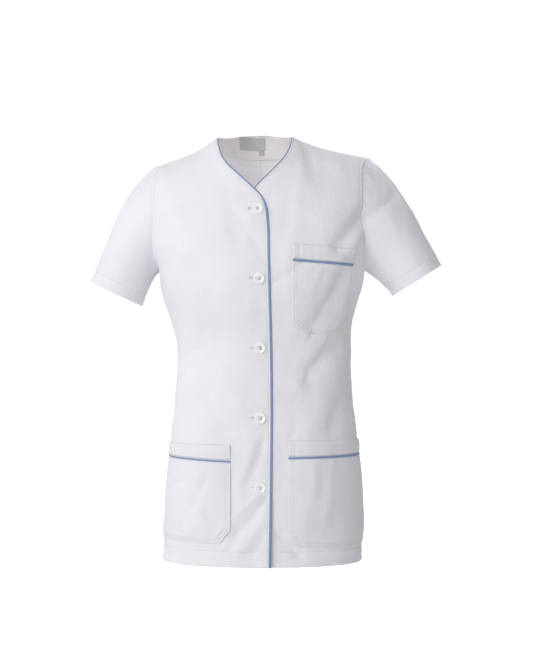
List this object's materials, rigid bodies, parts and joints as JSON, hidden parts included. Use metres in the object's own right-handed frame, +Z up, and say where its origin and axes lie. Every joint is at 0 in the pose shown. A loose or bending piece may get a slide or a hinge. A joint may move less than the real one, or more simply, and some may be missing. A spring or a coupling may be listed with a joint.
{
  "type": "work tunic",
  "caption": "Short-sleeved work tunic with a V neck, a lapped and buttoned front, contrasting piping, a chest pocket and lower patch pockets, in its worn shape.",
  "frame": {"origin": "midway between the shoulder seams, at their middle height, where a hanger or shoulders carry the tunic", "axes": "+Z up, -Y out of the front, +X towards the wearer's left"},
  "size_m": [0.6121, 0.2642, 0.7456],
  "materials": {
    "cloth": "plain-woven white cotton and polyester cloth, matt",
    "piping": "mid-blue satin-woven bias piping",
    "facing": "plain-woven white cloth, inner side",
    "label": "grey woven tape, bare",
    "button": "white polyester resin, soft gloss"
  },
  "bodies": {
    "root": {"front_right": "cloth", "front_left": "cloth", "back_right": "cloth", "back_left": "cloth", "sleeve_right": "cloth", "sleeve_left": "cloth", "pocket_chest": "cloth", "pocket_left": "cloth", "pocket_right": "cloth", "band_chest": "cloth", "band_left": "cloth", "band_right": "cloth", "piping_front_right": "piping", "piping_front_left": "piping", "piping_chest": "piping", "piping_pocket_left": "piping", "piping_pocket_right": "piping", "facing_back_neck": "facing", "label": "label", "size_tab": "label", "button_1": "button", "button_2": "button", "button_3": "button", "button_4": "button", "button_5": "button"}
  },
  "joints": []
}
